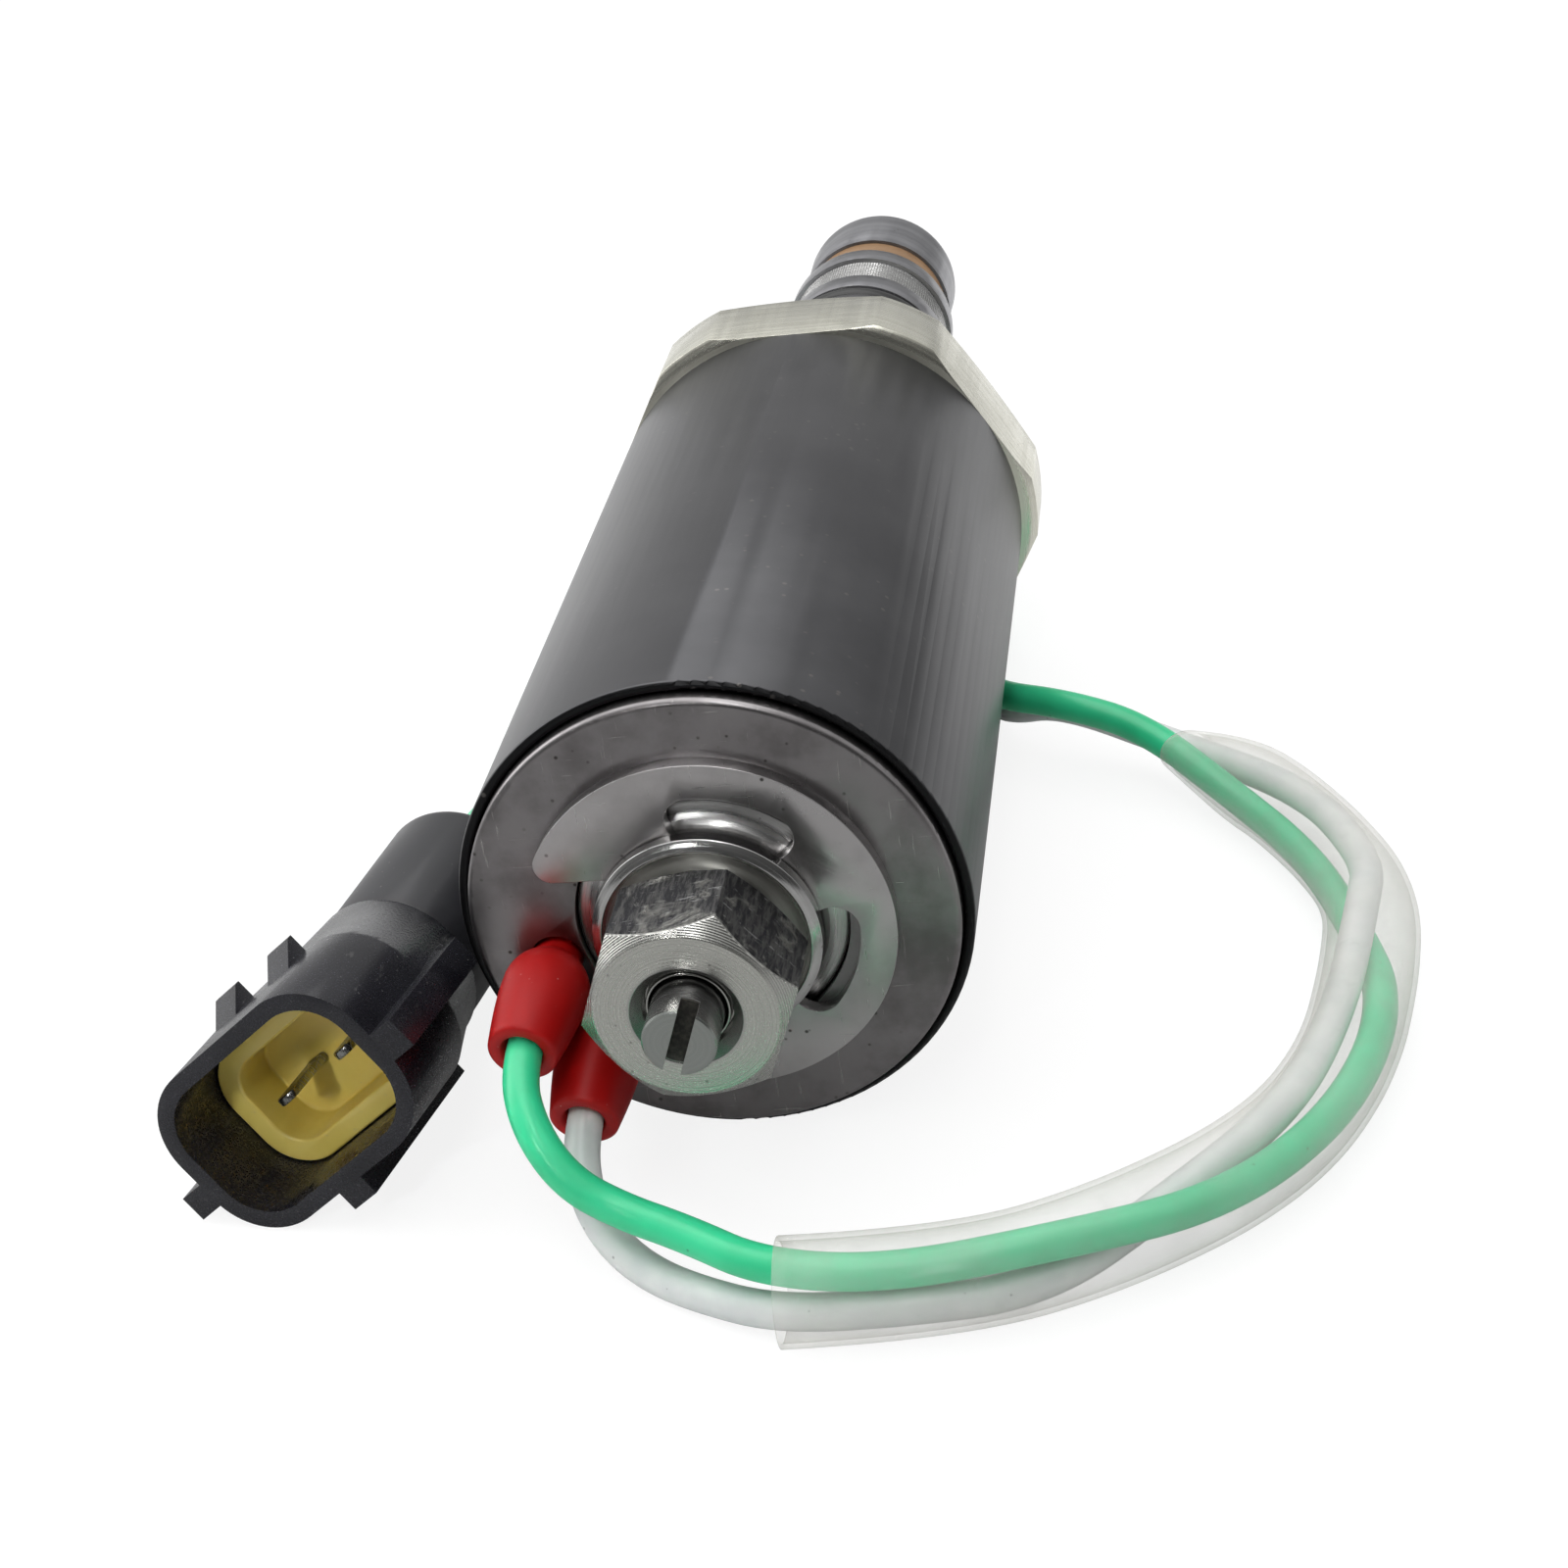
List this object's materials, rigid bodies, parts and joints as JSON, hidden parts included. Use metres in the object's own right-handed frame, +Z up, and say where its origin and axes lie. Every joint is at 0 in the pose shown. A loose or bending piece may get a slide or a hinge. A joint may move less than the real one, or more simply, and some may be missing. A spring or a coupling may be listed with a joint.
{
  "type": "hydraulic proportional solenoid valve",
  "caption": "Screw-in cartridge solenoid valve with a round coil case, hexagon flange, ported sleeve, manual adjuster and leads to a sealed plug.",
  "frame": {"origin": "centre of the bounding box's bottom face, leads and plug left out; the valve's axis is 18 mm above it", "axes": "+Y along the valve's axis from the adjuster to the nose, +Z up, the hexagon's flat down"},
  "size_m": [0.0887, 0.1526, 0.0368],
  "materials": {
    "case_coat": "black coated drawn steel",
    "plate_steel": "satin plated sheet steel",
    "stainless": "turned stainless steel",
    "zinc_steel": "pale zinc plated steel",
    "dark_steel": "hardened ground steel",
    "spring_steel": "drawn spring wire",
    "magnet_iron": "nickel plated soft iron",
    "brass_part": "turned brass",
    "copper_winding": "enamelled copper wire",
    "tinned_contact": "tinned contact",
    "black_rubber": "black seal rubber",
    "red_rubber": "soft glossy red boot",
    "green_insulation": "smooth green insulation",
    "white_insulation": "smooth white insulation",
    "clear_tube": "clear soft tube",
    "black_plastic": "moulded black plastic",
    "yellow_plastic": "moulded yellow plastic",
    "bobbin_plastic": "filled moulded plastic",
    "ptfe_ring": "tan filled ring material"
  },
  "bodies": {
    "valve_body": {"case": "case_coat", "end_plate": "plate_steel", "crescent_ring": "plate_steel", "guide_tube": "stainless", "tube_seal": "black_rubber", "adjuster_plug": "stainless", "preload_spring": "spring_steel", "pole_piece": "magnet_iron", "joint_ring": "brass_part", "stop_washer": "brass_part", "pin_bush": "brass_part", "coil_bobbin": "bobbin_plastic", "coil_winding": "copper_winding", "coil_wrap": "bobbin_plastic", "flange_hex": "zinc_steel", "flange_seal": "black_rubber", "valve_sleeve": "dark_steel", "sleeve_seal_rear": "black_rubber", "sleeve_seal_front": "black_rubber", "nose_seal": "black_rubber", "nose_backup_ring": "ptfe_ring", "port_screen_rear": "stainless", "port_screen_front": "stainless", "return_spring": "spring_steel", "nose_plug": "dark_steel", "snap_ring": "spring_steel", "lead_boot_green": "red_rubber", "lead_boot_white": "red_rubber", "terminal_green": "tinned_contact", "terminal_white": "tinned_contact", "green_lead": "green_insulation", "white_lead": "white_insulation", "clear_sleeve": "clear_tube", "connector_housing": "black_plastic", "connector_insert": "yellow_plastic", "contact_pin_upper": "tinned_contact", "contact_pin_lower": "tinned_contact", "connector_boot": "black_rubber", "connector_grommet": "black_rubber"},
    "spring_seat_body": {"spring_seat": "stainless"},
    "screw_body": {"adjusting_screw": "stainless"},
    "armature_body": {"armature": "magnet_iron", "push_pin": "stainless"},
    "spool_body": {"spool": "dark_steel", "spring_washer": "stainless"}
  },
  "joints": [
    {"name": "adjuster_advance", "type": "slide", "parent": "valve_body", "child": "spring_seat_body", "axis": [0, 1, 0], "range_m": [-0.001, 0.001], "deforming": ["preload_spring"]},
    {"name": "adjuster_turn", "type": "hinge", "parent": "spring_seat_body", "child": "screw_body", "pos_m": [0, -0.0558, 0.018], "axis": [0, 1, 0], "range_deg": [-450, 450]},
    {"name": "armature_slide", "type": "slide", "parent": "valve_body", "child": "armature_body", "axis": [0, 1, 0], "range_m": [0, 0.002], "stiffness_N_per_m": 1500, "springref_m": -0.003, "deforming": ["preload_spring"]},
    {"name": "spool_slide", "type": "slide", "parent": "valve_body", "child": "spool_body", "axis": [0, 1, 0], "range_m": [0, 0.002], "deforming": ["return_spring"]}
  ],
  "couplings": [
    {"joint": "adjuster_turn", "follows": "adjuster_advance", "rad_per_m": 7854},
    {"joint": "spool_slide", "follows": "armature_slide", "ratio": 1}
  ]
}
